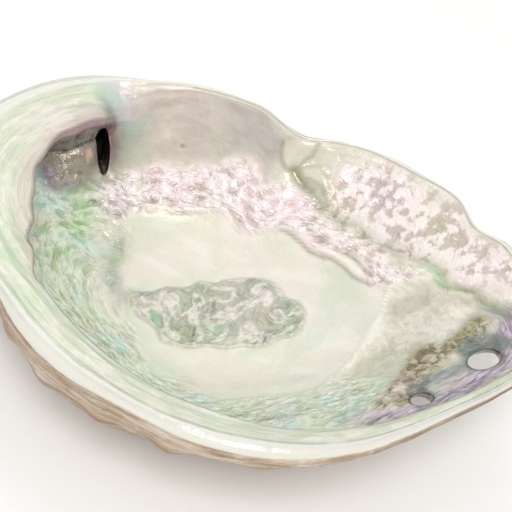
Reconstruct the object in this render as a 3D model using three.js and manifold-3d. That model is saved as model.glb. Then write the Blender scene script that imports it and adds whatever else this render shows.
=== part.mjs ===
import * as THREE from 'three';
import { mergeVertices } from 'three/addons/utils/BufferGeometryUtils.js';
import Module from 'manifold-3d';

// An abalone shell lying on its domed back with the bowl open upwards, in millimetres.
// +X is the wide shallow front end, -X the spire end, +Y the thin outer lip and -Y the thick
// inner edge with the ledge. Heights start from the plane of the rim, at z = 0, and the whole
// shell is set down on z = 0 at the end.

// Driving dimensions
const domeDepth = 46;
const bowlDepth = 41;
const footCut = 1.1;
const bowlCentre = new THREE.Vector2(-17, -7);
const spireApex = new THREE.Vector3(-62, 25, -27);
const profilePower = 2.2;
const columns = 122;
const calmColumns = 9;
const outerSteps = [0.12, 0.24, 0.36, 0.47, 0.57, 0.66, 0.74, 0.81, 0.87, 0.92, 0.96, 0.985, 1];
const ledgeSteps = [0.25, 0.5, 0.8, 1];
const innerSteps = [0.98, 0.95, 0.9, 0.84, 0.77, 0.69, 0.6, 0.5, 0.4, 0.3, 0.2, 0.1];

// Outer edge of the rim seen from above, with its height, once round from the front end.
// The outer lip has three shallow scallops, and the front margin a notch where the next hole
// was forming.
const rimPoints = [
  [83, 14, -1], [80, 28, -1], [72, 38, -2.4], [60, 49, 0], [49, 53, -1.2], [40, 60, 1],
  [24, 64.5, 0], [7, 65, 0.5], [-5, 63, -1], [-13, 60, -1.5], [-31, 62.8, 1], [-54, 59.5, 0],
  [-67, 52.5, 0], [-80, 43.5, 0], [-90, 31, 0], [-96, 16, -0.5], [-97, 0, -1], [-93, -15, -1],
  [-84, -29, -0.5], [-68, -42.5, 0], [-50, -51.5, 0], [-37, -58, 0.3], [-22, -62.6, 0],
  [-8, -64.8, 0], [6, -65.2, 0.3], [19, -62.8, 0], [31, -58.6, 0.3], [42, -52.2, 0],
  [52.6, -43, -0.3], [61.2, -31, -0.5], [69, -18, -0.5], [76.6, -3.4, -1],
];

// The ledge inside the rim at angles round the bowl: its width, how far the hollow reaches
// under it and how far its free edge drops. At its far end it slopes down into the bowl's wall.
const ledgeStations = [
  { angle: 0, width: 4.6, undercut: 1, drop: 1.2 },
  { angle: 22, width: 3.8, undercut: 0.2, drop: 1.5 },
  { angle: 45, width: 3, undercut: 0, drop: 2 },
  { angle: 116, width: 3, undercut: 0, drop: 2 },
  { angle: 126, width: 6, undercut: 0, drop: 3.7 },
  { angle: 136, width: 12.4, undercut: 0, drop: 9.5 },
  { angle: 145, width: 17, undercut: 1.5, drop: 4.4 },
  { angle: 156, width: 20.8, undercut: 4, drop: 3 },
  { angle: 172, width: 25.6, undercut: 12, drop: 3 },
  { angle: 184, width: 28.2, undercut: 12, drop: 3 },
  { angle: 195, width: 27, undercut: 12, drop: 3 },
  { angle: 212, width: 20, undercut: 9, drop: 2.6 },
  { angle: 232, width: 12.5, undercut: 5, drop: 2 },
  { angle: 300, width: 11, undercut: 5, drop: 1.6 },
  { angle: 325, width: 8.4, undercut: 4, drop: 1.4 },
  { angle: 345, width: 5.4, undercut: 2, drop: 1 },
];

// Open breathing holes: the centre on the inner surface and the half width and half height.
// Each runs along holeAxis and widens outwards.
const holes = [
  { centre: [57.6, -12, -12], halfLength: 3.7, halfWidth: 2.4 },
  { centre: [67.9, 9.8, -9], halfLength: 4.6, halfWidth: 3 },
];
const holeAxis = new THREE.Vector3(-0.14, 0.42, -0.9).normalize();
const holeFlare = 1.25;
const sealedHole = new THREE.Vector3(41.8, -21, -21);

// The row of sealed holes along the outside, from the front round the inner edge to the spire.
const tubercleRow = [
  [70, 10, -12], [62, -14, -13], [48, -36, -12], [30, -53, -11], [8, -62, -11], [-14, -62, -11],
  [-36, -56, -11], [-56, -46, -11], [-73, -32, -12], [-84, -14, -13], [-86, 3, -15],
  [-80, 18, -19], [-68, 26, -25],
];
const tubercleCount = 15;
const firstSpacing = 0.105;
const tubercleHeight = 2.4;
const tubercleRadius = 6;
const keelHeight = 0.7;
const keelRadius = 10;

// The low coil of the spire, and the broad folds left by growth, which fade on the sole.
const spireHeight = 5.5;
const coilDepth = 1.6;
const foldHeight = 0.8;
const foldSpacing = 4.6;
const soleRadius = 42;

// The hollow of the spire, entered through a narrow crescent under the end of the ledge.
const spireHollow = [
  { at: [-61, 21, -14], across: 2.1, tall: 6.4 }, { at: [-68, 30.2, -14], across: 2.3, tall: 7 },
  { at: [-73, 33.2, -13], across: 2.4, tall: 5.4 }, { at: [-76.5, 30.5, -12], across: 2.4, tall: 4 },
  { at: [-80, 25, -12.5], across: 2.2, tall: 3 }, { at: [-79, 19, -13], across: 1.2, tall: 1.6 },
];

function smoothStep(t) {
  return t * t * (3 - 2 * t);
}

function mound(distance, radius) {
  return Math.exp(-(distance * distance) / (radius * radius));
}

// A value that passes smoothly through one number on each side of the shell.
function around(angle, front, lip, spire, inner) {
  const along = Math.cos(angle);
  const across = Math.sin(angle);
  return along * along * (along > 0 ? front : spire) + across * across * (across > 0 ? lip : inner);
}

function ledgeAt(angle) {
  const degrees = THREE.MathUtils.radToDeg(angle);
  let next = ledgeStations.findIndex((station) => station.angle > degrees);
  next = next < 0 ? 0 : next;
  const before = ledgeStations.at(next - 1);
  const after = ledgeStations[next];
  const span = (after.angle - before.angle + 360) % 360;
  const share = smoothStep((degrees - before.angle) / span);
  const blend = (key) => THREE.MathUtils.lerp(before[key], after[key], share);
  return {
    width: blend('width'),
    undercut: blend('undercut'),
    drop: blend('drop'),
  };
}

const rimCurve = new THREE.CatmullRomCurve3(
  rimPoints.map((point) => new THREE.Vector3(...point)),
  true,
  'centripetal',
);
rimCurve.arcLengthDivisions = 1000;

const rowCurve = new THREE.CatmullRomCurve3(tubercleRow.map((point) => new THREE.Vector3(...point)));

// Tubercles shrink and crowd together towards the spire.
function placeTubercles() {
  const placed = [];
  let along = 0;
  for (let i = 0; i < tubercleCount; i += 1) {
    const size = 1 - 0.72 * along;
    placed.push({
      centre: rowCurve.getPointAt(Math.min(along, 1)),
      height: tubercleHeight * size,
      radius: tubercleRadius * size,
    });
    along += firstSpacing * size;
  }
  return placed;
}
const tubercles = placeTubercles();
const keel = rowCurve.getSpacedPoints(48);

// How far the rounded dome or bowl has sunk, as a share of its depth, at a share of its reach.
function sunk(share, angle) {
  const fullness = THREE.MathUtils.lerp(0.9, around(angle, 1.05, 1.15, 0.85, 0.7), share * share);
  const power = THREE.MathUtils.lerp(profilePower, around(angle, 1.25, 2.2, 2.2, 2.2), share);
  return Math.max(0, 1 - share ** power) ** fullness;
}

// One profile of the shell from the middle of the dome outside, over the rim and the ledge, to
// the middle of the bowl. Each entry is a distance from the bowl's centre and a height. The
// scallops of the rim fade out towards the middle, where the reach is the calm one.
function profileAt(angle, reach, calmReach) {
  const ledge = ledgeAt(angle);
  const edge = around(angle, 3.4, 2.8, 4.6, 4.6);
  const reachAt = (share) => THREE.MathUtils.lerp(calmReach, reach, share ** 4);
  const outside = outerSteps.map((share) => ({
    r: share * reachAt(share),
    z: -edge - (domeDepth - edge) * sunk(share, angle),
    kind: 'outside',
  }));
  const rim = [
    { r: reach, z: -0.5 * edge, kind: 'rim' },
    { r: reach - 0.16 * edge, z: -0.12 * edge, kind: 'rim' },
    { r: reach - 0.4 * edge, z: 0, kind: 'rim' },
  ];
  const ledgeStart = reach - 0.4 * edge;
  const ledgeEnd = reach - ledge.width;
  const top = ledgeSteps.map((share) => ({
    r: THREE.MathUtils.lerp(ledgeStart, ledgeEnd, share),
    z: -ledge.drop * share * share,
    kind: 'ledge',
  }));
  const bowlInset = around(angle, 3, 1.4, 9, 5);
  const bowlEdge = around(angle, 2, 1.3, 4, 4);
  const bowlHeight = (r) => {
    const share = Math.min(1, r / (reachAt(Math.min(1, r / reach)) - bowlInset));
    return -bowlEdge - (bowlDepth - bowlEdge) * sunk(share, angle);
  };
  const wallReach = Math.min(ledgeEnd + ledge.undercut, 0.985 * (reach - bowlInset));
  const wallTop = Math.min(bowlHeight(wallReach), -ledge.drop - 0.8);
  const underside = [
    {
      r: THREE.MathUtils.lerp(ledgeEnd, wallReach, 0.2),
      z: THREE.MathUtils.lerp(-ledge.drop, wallTop, 0.22),
      kind: 'under',
    },
    {
      r: THREE.MathUtils.lerp(ledgeEnd, wallReach, 0.75),
      z: THREE.MathUtils.lerp(-ledge.drop, wallTop, 0.55),
      kind: 'under',
    },
    { r: wallReach, z: wallTop, kind: 'inside' },
  ];
  const inside = innerSteps.map((share) => ({
    r: share * wallReach,
    z: Math.min(bowlHeight(share * wallReach), wallTop),
    kind: 'inside',
  }));
  return [...outside, ...rim, ...top, ...underside, ...inside];
}

// Lumps and folds outside: the sealed holes, the growth folds and the low coil of the spire.
function outsideRelief(point) {
  let height = 0;
  for (const tubercle of tubercles) {
    height += tubercle.height * mound(point.distanceTo(tubercle.centre), tubercle.radius);
  }
  const keelDistance = Math.min(...keel.map((place) => point.distanceTo(place)));
  height += keelHeight * mound(keelDistance, keelRadius);
  const fromApex = Math.hypot(point.x - spireApex.x, point.y - spireApex.y);
  const turn = Math.atan2(point.y - spireApex.y, point.x - spireApex.x);
  const whorl = (Math.log(fromApex + 1) / 0.36 - turn) / (2 * Math.PI);
  const coil = Math.cos(2 * Math.PI * whorl);
  height += spireHeight * mound(fromApex, 18) + coilDepth * coil * mound(fromApex, 26);
  const folds = Math.sin(fromApex / foldSpacing + 0.8 * Math.sin(turn * 3));
  const sole = Math.hypot(point.x - bowlCentre.x, point.y - bowlCentre.y);
  height += foldHeight * folds * smoothStep(Math.min(1, sole / soleRadius));
  return height;
}

// Lumps and folds inside: the rim of the round scar where the foot was fixed, the rough patch
// inside it, the bulge of the whorl before beside the spire hollow, the sealed hole and the
// ripples of the walls.
const scarCentre = new THREE.Vector2(-9, 11);
const scarRadius = new THREE.Vector2(44, 30);
const scarTurn = 0.12;
const roughCentre = new THREE.Vector2(-10, 9);
const bulgeCentre = new THREE.Vector3(-72, 23.5, -14);
function insideRelief(point) {
  const dx = point.x - scarCentre.x;
  const dy = point.y - scarCentre.y;
  const u = (dx * Math.cos(scarTurn) + dy * Math.sin(scarTurn)) / scarRadius.x;
  const v = (dy * Math.cos(scarTurn) - dx * Math.sin(scarTurn)) / scarRadius.y;
  const scar = Math.hypot(u, v);
  let height = 1.5 * mound(scar - 1, 0.13) * (0.6 + 0.4 * Math.cos(Math.atan2(dy, dx) - 0.5));
  const rough = mound(Math.hypot(point.x - roughCentre.x, 1.3 * (point.y - roughCentre.y)), 19);
  height += 0.9 * rough * Math.sin(point.x / 2.6 + point.y / 5) * Math.cos(point.y / 3.1);
  const outer = smoothStep(THREE.MathUtils.clamp(scar - 1, 0, 1));
  height += 0.8 * outer * Math.sin(point.x / 4.6 - point.y / 6.5) * Math.cos(point.y / 5.4 + point.x / 17);
  height += 3.6 * mound(point.distanceTo(bulgeCentre), 6.5);
  height -= 2.2 * mound(point.distanceTo(sealedHole), 3.6);
  return height;
}

function shellGeometry() {
  const rims = [];
  for (let column = 0; column < columns; column += 1) {
    const place = rimCurve.getPointAt(column / columns);
    const outwards = new THREE.Vector2(place.x - bowlCentre.x, place.y - bowlCentre.y);
    rims.push({ outwards, height: place.z, reach: outwards.length(), angle: outwards.angle() });
  }
  const rings = rims.map((rim, column) => {
    let sum = 0;
    for (let i = -calmColumns; i <= calmColumns; i += 1) {
      sum += rims[(column + i + columns) % columns].reach;
    }
    const calmReach = sum / (2 * calmColumns + 1);
    return profileAt(rim.angle, rim.reach, calmReach).map((entry) => ({
      kind: entry.kind,
      base: new THREE.Vector3(
        bowlCentre.x + (rim.outwards.x * entry.r) / rim.reach,
        bowlCentre.y + (rim.outwards.y * entry.r) / rim.reach,
        entry.z + rim.height * (entry.r / rim.reach) ** 4,
      ),
    }));
  });
  const rows = rings[0].length;
  const positions = [];
  for (let column = 0; column < columns; column += 1) {
    for (let row = 0; row < rows; row += 1) {
      const entry = rings[column][row];
      const along = new THREE.Vector3().subVectors(
        rings[column][Math.min(row + 1, rows - 1)].base,
        rings[column][Math.max(row - 1, 0)].base,
      );
      const sideways = new THREE.Vector3().subVectors(
        rings[(column + 1) % columns][row].base,
        rings[(column - 1 + columns) % columns][row].base,
      );
      const normal = new THREE.Vector3().crossVectors(sideways, along).normalize();
      let height = 0;
      if (entry.kind === 'outside') {
        height = outsideRelief(entry.base);
      } else if (entry.kind === 'inside') {
        height = insideRelief(entry.base);
      }
      const place = entry.base.clone().addScaledVector(normal, height);
      positions.push(place.x, place.y, place.z);
    }
  }
  const domeCentre = positions.length / 3;
  positions.push(bowlCentre.x, bowlCentre.y, -domeDepth);
  positions.push(bowlCentre.x, bowlCentre.y, -bowlDepth);
  const faces = [];
  for (let column = 0; column < columns; column += 1) {
    const here = column * rows;
    const next = ((column + 1) % columns) * rows;
    faces.push(domeCentre, next, here);
    for (let row = 0; row < rows - 1; row += 1) {
      faces.push(here + row, next + row, next + row + 1);
      faces.push(here + row, next + row + 1, here + row + 1);
    }
    faces.push(domeCentre + 1, here + rows - 1, next + rows - 1);
  }
  const geometry = new THREE.BufferGeometry();
  geometry.setAttribute('position', new THREE.Float32BufferAttribute(positions, 3));
  geometry.setIndex(faces);
  return geometry;
}

// A closed tube along a list of sections, each with its own half width and half height.
function taperedTube(sections, sides) {
  const positions = [];
  const faces = [];
  sections.forEach((section, i) => {
    const before = sections[Math.max(i - 1, 0)].centre;
    const after = sections[Math.min(i + 1, sections.length - 1)].centre;
    const forward = new THREE.Vector3().subVectors(after, before).normalize();
    const side = new THREE.Vector3().crossVectors(forward, section.up).normalize();
    const up = new THREE.Vector3().crossVectors(side, forward);
    for (let k = 0; k < sides; k += 1) {
      const turn = (2 * Math.PI * k) / sides;
      const place = section.centre.clone()
        .addScaledVector(side, section.across * Math.cos(turn))
        .addScaledVector(up, section.tall * Math.sin(turn));
      positions.push(place.x, place.y, place.z);
    }
  });
  for (let i = 0; i < sections.length - 1; i += 1) {
    for (let k = 0; k < sides; k += 1) {
      const here = i * sides + k;
      const next = i * sides + ((k + 1) % sides);
      faces.push(here, next + sides, next, here, here + sides, next + sides);
    }
  }
  for (let k = 1; k < sides - 1; k += 1) {
    const last = (sections.length - 1) * sides;
    faces.push(0, k, k + 1, last, last + k + 1, last + k);
  }
  const geometry = new THREE.BufferGeometry();
  geometry.setAttribute('position', new THREE.Float32BufferAttribute(positions, 3));
  geometry.setIndex(faces);
  return geometry;
}

const holeSides = 20;
function holeGeometry({ centre, halfLength, halfWidth }) {
  const middle = new THREE.Vector3(...centre);
  const up = new THREE.Vector3(0.45, 0.9, 0);
  const sections = [-9, -2, 3, 14].map((along, i) => ({
    centre: middle.clone().addScaledVector(holeAxis, along),
    up,
    across: halfWidth * holeFlare ** (i - 1),
    tall: halfLength * holeFlare ** (i - 1),
  }));
  return taperedTube(sections, holeSides);
}

const hollowSides = 16;
function spireHollowGeometry() {
  const path = new THREE.CatmullRomCurve3(spireHollow.map(({ at }) => new THREE.Vector3(...at)));
  const steps = 14;
  const sections = [];
  for (let i = 0; i <= steps; i += 1) {
    const place = (i / steps) * (spireHollow.length - 1);
    const before = spireHollow[Math.floor(place)];
    const after = spireHollow[Math.ceil(place)];
    const share = place - Math.floor(place);
    sections.push({
      centre: path.getPoint(i / steps),
      up: new THREE.Vector3(0, 0, 1),
      across: THREE.MathUtils.lerp(before.across, after.across, share),
      tall: THREE.MathUtils.lerp(before.tall, after.tall, share),
    });
  }
  return taperedTube(sections, hollowSides);
}

const wasm = await Module();
wasm.setup();

function toSolid(geometry) {
  const plain = geometry.clone();
  plain.deleteAttribute('normal');
  plain.deleteAttribute('uv');
  const merged = mergeVertices(plain, 1e-4);
  return new wasm.Manifold(new wasm.Mesh({
    numProp: 3,
    vertProperties: new Float32Array(merged.attributes.position.array),
    triVerts: new Uint32Array(merged.index.array),
  }));
}

// Points closer than this are one point, so a sliver left by a cut closes up.
const weldDistance = 2e-3;
function toGeometry(solid) {
  const mesh = solid.getMesh();
  const loose = new THREE.BufferGeometry();
  loose.setAttribute('position', new THREE.Float32BufferAttribute(mesh.vertProperties, 3));
  loose.setIndex([...mesh.triVerts]);
  const geometry = mergeVertices(loose, weldDistance);
  const corners = geometry.index.array;
  const kept = [];
  for (let i = 0; i < corners.length; i += 3) {
    const [a, b, c] = corners.subarray(i, i + 3);
    if (a !== b && b !== c && c !== a) {
      kept.push(a, b, c);
    }
  }
  geometry.setIndex(kept);
  geometry.computeVertexNormals();
  return geometry;
}

const groundGeometry = new THREE.BoxGeometry(240, 240, 20);
groundGeometry.translate(0, 0, -domeDepth + footCut - 10);

let solid = toSolid(shellGeometry());
solid = solid.subtract(toSolid(spireHollowGeometry()));
for (const hole of holes) {
  solid = solid.subtract(toSolid(holeGeometry(hole)));
}
solid = solid.subtract(toSolid(groundGeometry));

// The origin is under the middle of the shell's outline, on the surface it lies on.
const finished = toGeometry(solid);
finished.computeBoundingBox();
const middle = finished.boundingBox.getCenter(new THREE.Vector3());
finished.translate(-middle.x, -middle.y, -finished.boundingBox.min.z);

const nacre = new THREE.MeshStandardMaterial({ color: 0xcfcdbb, roughness: 0.28, metalness: 0 });
const shell = new THREE.Mesh(finished, nacre);
shell.name = 'abalone_shell';

const part = new THREE.Group();
part.add(shell);

export default part;
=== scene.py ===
import math

import bpy
import numpy as np
from mathutils import Matrix, Vector
from mathutils.kdtree import KDTree


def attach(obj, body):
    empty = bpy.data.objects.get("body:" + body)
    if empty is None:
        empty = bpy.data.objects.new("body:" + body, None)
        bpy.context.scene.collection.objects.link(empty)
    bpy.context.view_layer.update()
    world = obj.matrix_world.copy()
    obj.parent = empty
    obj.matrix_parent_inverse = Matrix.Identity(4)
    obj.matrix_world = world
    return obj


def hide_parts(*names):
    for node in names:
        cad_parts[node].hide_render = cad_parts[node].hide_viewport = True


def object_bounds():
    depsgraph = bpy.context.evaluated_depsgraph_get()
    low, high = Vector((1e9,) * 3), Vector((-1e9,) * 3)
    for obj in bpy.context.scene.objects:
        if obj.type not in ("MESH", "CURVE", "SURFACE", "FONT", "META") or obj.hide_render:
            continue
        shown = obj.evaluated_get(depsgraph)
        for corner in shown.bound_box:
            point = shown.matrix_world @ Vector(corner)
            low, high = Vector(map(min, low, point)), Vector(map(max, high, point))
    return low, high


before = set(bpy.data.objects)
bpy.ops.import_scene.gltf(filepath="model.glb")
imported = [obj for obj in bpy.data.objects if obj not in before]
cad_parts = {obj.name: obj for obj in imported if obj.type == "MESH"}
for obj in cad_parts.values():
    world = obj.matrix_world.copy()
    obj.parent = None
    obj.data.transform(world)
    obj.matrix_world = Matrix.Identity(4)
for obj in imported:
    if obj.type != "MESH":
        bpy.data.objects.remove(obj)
cad_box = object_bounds()


# Camera
# It looks down into the bowl over the thick inner edge, a little from the front end and
# leaning to the right, with a long lens close enough for the rim to leave the picture.
rim_plane_centre = Vector((0.007576, -0.000207, 0.0449))
camera_azimuth = math.radians(19)
camera_elevation = math.radians(43)
camera_roll = math.radians(12)
camera_distance = 0.3353

backwards = Vector((
    math.sin(camera_azimuth) * math.cos(camera_elevation),
    -math.cos(camera_azimuth) * math.cos(camera_elevation),
    math.sin(camera_elevation),
))
level = Vector((math.cos(camera_azimuth), math.sin(camera_azimuth), 0))
rightwards = level * math.cos(camera_roll) + backwards.cross(level) * math.sin(camera_roll)
upwards = backwards.cross(rightwards)
camera_data = bpy.data.cameras.new("camera")
camera_data.lens = 85
camera_data.sensor_width = 36
camera = bpy.data.objects.new("camera", camera_data)
camera.matrix_world = (
    Matrix.Translation(rim_plane_centre + backwards * camera_distance)
    @ Matrix((rightwards, upwards, backwards)).transposed().to_4x4()
)
bpy.context.collection.objects.link(camera)
bpy.context.scene.camera = camera


# The shell
# It is grown in one piece of aragonite and calcite: a wide last whorl with a low spire, a thin
# outer lip, a broad pearly ledge along the inner edge and a row of breathing holes. Its form is
# a profile swept round the bowl's centre, in millimetres with the plane of the rim at z = 0.
rim_points = [
    (83, 14, -1), (80, 28, -1), (72, 38, -2.4), (60, 49, 0), (49, 53, -1.2), (40, 60, 1),
    (24, 64.5, 0), (7, 65, 0.5), (-5, 63, -1), (-13, 60, -1.5), (-31, 62.8, 1), (-54, 59.5, 0),
    (-67, 52.5, 0), (-80, 43.5, 0), (-90, 31, 0), (-96, 16, -0.5), (-97, 0, -1), (-93, -15, -1),
    (-84, -29, -0.5), (-68, -42.5, 0), (-50, -51.5, 0), (-37, -58, 0.3), (-22, -62.6, 0),
    (-8, -64.8, 0), (6, -65.2, 0.3), (19, -62.8, 0), (31, -58.6, 0.3), (42, -52.2, 0),
    (52.6, -43, -0.3), (61.2, -31, -0.5), (69, -18, -0.5), (76.6, -3.4, -1),
]
ledge_stations = [  # angle in degrees, width, undercut, drop of the free edge
    (0, 4.6, 1, 1.2), (22, 3.8, 0.2, 1.5), (45, 3, 0, 2), (116, 3, 0, 2), (126, 6, 0, 3.7),
    (136, 12.4, 0, 9.5), (145, 17, 1.5, 4.4), (156, 20.8, 4, 3), (172, 25.6, 12, 3),
    (184, 28.2, 12, 3), (195, 27, 12, 3), (212, 20, 9, 2.6), (232, 12.5, 5, 2), (300, 11, 5, 1.6),
    (325, 8.4, 4, 1.4), (345, 5.4, 2, 1),
]
dome_depth = 46
bowl_depth = 41
foot_cut = 1.1
bowl_centre = np.array((-17, -7))
spire_apex = np.array((-62, 25, -27))
columns = 560
outside_rows = 32
rim_rows = 6
ledge_rows = 18
under_rows = 12
bowl_rows = 95


def smooth_step(t):
    t = np.clip(t, 0, 1)
    return t * t * (3 - 2 * t)


def mound(distance, radius):
    return np.exp(-(distance / radius) ** 2)


def mix(start, end, share):
    return start + (end - start) * share


def around(angle, front, lip, spire, inner):
    along = np.cos(angle)
    across = np.sin(angle)
    return (
        along ** 2 * np.where(along > 0, front, spire)
        + across ** 2 * np.where(across > 0, lip, inner)
    )


def curve_through(points, closed, steps):
    """Centripetal Catmull-Rom curve with points at equal distances."""
    points = np.array(points, float)
    if closed:
        line = np.vstack((points[-1:], points, points[:2]))
    else:
        line = np.vstack((2 * points[0] - points[1], points, 2 * points[-1] - points[-2]))
    fine = []
    for p0, p1, p2, p3 in zip(line, line[1:], line[2:], line[3:]):
        d0, d1, d2 = (math.sqrt(np.linalg.norm(b - a)) for a, b in ((p0, p1), (p1, p2), (p2, p3)))
        leave = ((p1 - p0) / d0 - (p2 - p0) / (d0 + d1) + (p2 - p1) / d1) * d1
        arrive = ((p2 - p1) / d1 - (p3 - p1) / (d1 + d2) + (p3 - p2) / d2) * d1
        t = np.linspace(0, 1, 60, endpoint=False)[:, None]
        fine.append(
            p1 + leave * t + (3 * (p2 - p1) - 2 * leave - arrive) * t ** 2
            + (2 * (p1 - p2) + leave + arrive) * t ** 3
        )
    fine.append(line[-2:-1])
    fine = np.vstack(fine)
    length = np.concatenate(([0], np.cumsum(np.linalg.norm(np.diff(fine, axis=0), axis=1))))
    places = np.linspace(0, length[-1], steps, endpoint=not closed)
    return np.column_stack([np.interp(places, length, fine[:, i]) for i in range(3)])


rim = curve_through(rim_points, True, columns)
outwards = rim[:, :2] - bowl_centre
reach = np.hypot(*outwards.T)[:, None]
angle = (np.arctan2(outwards[:, 1], outwards[:, 0]) % (2 * math.pi))[:, None]
turn = np.arange(columns) / columns

# The bowl and the dome follow the rim without its scallops, smoothed over steps of the turn.
calm_steps = 9
steps_in_turn = 122
calm_reach = np.mean([
    np.interp(
        (turn + k / steps_in_turn) % 1, np.append(turn, 1), np.append(reach[:, 0], reach[0, 0]))
    for k in range(-calm_steps, calm_steps + 1)
], axis=0)[:, None]


def ledge_at(key):
    degrees = np.degrees(angle)
    stations = [*ledge_stations, (ledge_stations[0][0] + 360, *ledge_stations[0][1:])]
    value = np.zeros_like(degrees)
    for before, after in zip(stations, stations[1:]):
        here = (degrees >= before[0]) & (degrees < after[0])
        share = smooth_step((degrees - before[0]) / (after[0] - before[0]))
        value = np.where(here, mix(before[key], after[key], share), value)
    return value


def sunk(share):
    fullness = mix(0.9, around(angle, front=1.05, lip=1.15, spire=0.85, inner=0.7), share * share)
    power = mix(2.2, around(angle, front=1.25, lip=2.2, spire=2.2, inner=2.2), share)
    return np.maximum(0, 1 - share ** power) ** fullness


def reach_at(share):
    return mix(calm_reach, reach, share ** 4)


# Rows of the profile, from the middle of the dome outside to the middle of the bowl.
edge = around(angle, front=3.4, lip=2.8, spire=4.6, inner=4.6)
share = 1 - (1 - np.linspace(0.03, 1, outside_rows)) ** 1.5
outside_r = share * reach_at(share)
outside_z = -edge - (dome_depth - edge) * sunk(share)
share = np.linspace(0, math.pi / 2, rim_rows)
rim_r = reach - 0.4 * edge * (1 - np.cos(share))
rim_z = -0.5 * edge * (1 - np.sin(share))
ledge_width, undercut, ledge_drop = (ledge_at(key) for key in (1, 2, 3))
ledge_end = reach - ledge_width
share = np.linspace(1 / ledge_rows, 1, ledge_rows)
ledge_r = mix(reach - 0.4 * edge, ledge_end, share)
ledge_z = -ledge_drop * share ** 2
bowl_inset = around(angle, front=3, lip=1.4, spire=9, inner=5)
bowl_edge = around(angle, front=2, lip=1.3, spire=4, inner=4)


def bowl_height(r):
    share = np.minimum(1, r / (reach_at(np.minimum(1, r / reach)) - bowl_inset))
    return -bowl_edge - (bowl_depth - bowl_edge) * sunk(share)


wall_reach = np.minimum(ledge_end + undercut, 0.985 * (reach - bowl_inset))
wall_top = np.minimum(bowl_height(wall_reach), -ledge_drop - 0.8)
share = np.linspace(1 / under_rows, 1, under_rows)
early = 3 * share * (1 - share) ** 2
late = 3 * share ** 2 * (1 - share)
last = share ** 3
fall = -ledge_drop - wall_top
under_r = ledge_end - 0.7 * early + (wall_reach - ledge_end) * (0.5 * late + last)
under_z = -ledge_drop - fall * (0.25 * early + 0.5 * late + last)
share = np.linspace(1 - 1 / bowl_rows, 1 / bowl_rows, bowl_rows - 1)
bowl_r = share * wall_reach
bowl_z = np.minimum(bowl_height(bowl_r), wall_top)

profile_r = np.hstack((outside_r, rim_r, ledge_r, under_r, bowl_r))
profile_z = np.hstack((outside_z, rim_z, ledge_z, under_z, bowl_z))
rows = profile_r.shape[1]
ledge_start_row = outside_rows + rim_rows
under_start_row = ledge_start_row + ledge_rows

# Along the outer lip the nacre runs on over the edge, with no overhang to the bowl's wall, so
# the profile is smoothed there from the ledge's first rows on.
smoothing_rounds = 160
overhang = np.clip(undercut / 1.5, 0, 1)
soft_profile = np.stack((profile_r, profile_z))
for _ in range(smoothing_rounds):
    soft_profile[..., 1:-1] = (
        soft_profile[..., :-2] + 2 * soft_profile[..., 1:-1] + soft_profile[..., 2:]) / 4
softened = smooth_step((np.arange(rows) - ledge_start_row) / 8)
profile_r, profile_z = (
    mix(mix(sharp, soft, softened), sharp, overhang)
    for sharp, soft in zip((profile_r, profile_z), soft_profile)
)
plan = profile_r / reach
base = np.stack((
    bowl_centre[0] + outwards[:, :1] * plan,
    bowl_centre[1] + outwards[:, 1:] * plan,
    profile_z + rim[:, 2:] * plan ** 4,
), axis=2)
sideways = np.roll(base, -1, 0) - np.roll(base, 1, 0)
along = (
    np.concatenate((base[:, 1:], base[:, -1:]), axis=1)
    - np.concatenate((base[:, :1], base[:, :-1]), axis=1)
)
normal = np.cross(sideways, along)
normal /= np.linalg.norm(normal, axis=2, keepdims=True)
inwards = np.cumsum(np.linalg.norm(np.diff(base, axis=1, prepend=base[:, :1]), axis=2), axis=1)
inwards -= inwards[:, outside_rows:outside_rows + 1]

# Lumps outside: the sealed holes on their keel, the coil of the spire and the growth folds.
tubercle_row = [
    (70, 10, -12), (62, -14, -13), (48, -36, -12), (30, -53, -11), (8, -62, -11), (-14, -62, -11),
    (-36, -56, -11), (-56, -46, -11), (-73, -32, -12), (-84, -14, -13), (-86, 3, -15),
    (-80, 18, -19), (-68, 26, -25),
]
keel_points = 200
sealed_hole_count = 15
sealed_hole_spacing = 0.105  # of the keel's length, at the front
sealed_hole_shrink = 0.72  # from the front to the spire
sealed_hole_height = 2.4
sealed_hole_radius = 6
keel_height = 0.7
keel_width = 10
spire_height = 5.5
spire_radius = 18
whorl_height = 1.6
whorl_radius = 26
whorl_growth = 0.36
fold_height = 0.8
fold_spacing = 4.6
fold_full_radius = 42  # from the middle of the dome, where the folds reach their whole height
keel = curve_through(tubercle_row, False, keel_points)
outside_relief = np.zeros(base.shape[:2])
along_keel = 0
for _ in range(sealed_hole_count):
    size = 1 - sealed_hole_shrink * along_keel
    centre = keel[round(min(along_keel, 1) * (keel_points - 1))]
    outside_relief += sealed_hole_height * size * mound(
        np.linalg.norm(base - centre, axis=2), sealed_hole_radius * size)
    along_keel += sealed_hole_spacing * size
keel_distance = np.min([np.linalg.norm(base - point, axis=2) for point in keel[::4]], axis=0)
outside_relief += keel_height * mound(keel_distance, keel_width)
from_apex = np.hypot(base[..., 0] - spire_apex[0], base[..., 1] - spire_apex[1])
spire_turn = np.arctan2(base[..., 1] - spire_apex[1], base[..., 0] - spire_apex[0])
whorl = np.log(from_apex + 1) / whorl_growth - spire_turn
outside_relief += (
    spire_height * mound(from_apex, spire_radius)
    + whorl_height * np.cos(whorl) * mound(from_apex, whorl_radius)
)
growth_folds = np.sin(from_apex / fold_spacing + 0.8 * np.sin(spire_turn * 3))
outside_relief += fold_height * growth_folds * smooth_step(
    np.hypot(base[..., 0] - bowl_centre[0], base[..., 1] - bowl_centre[1]) / fold_full_radius)

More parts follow.
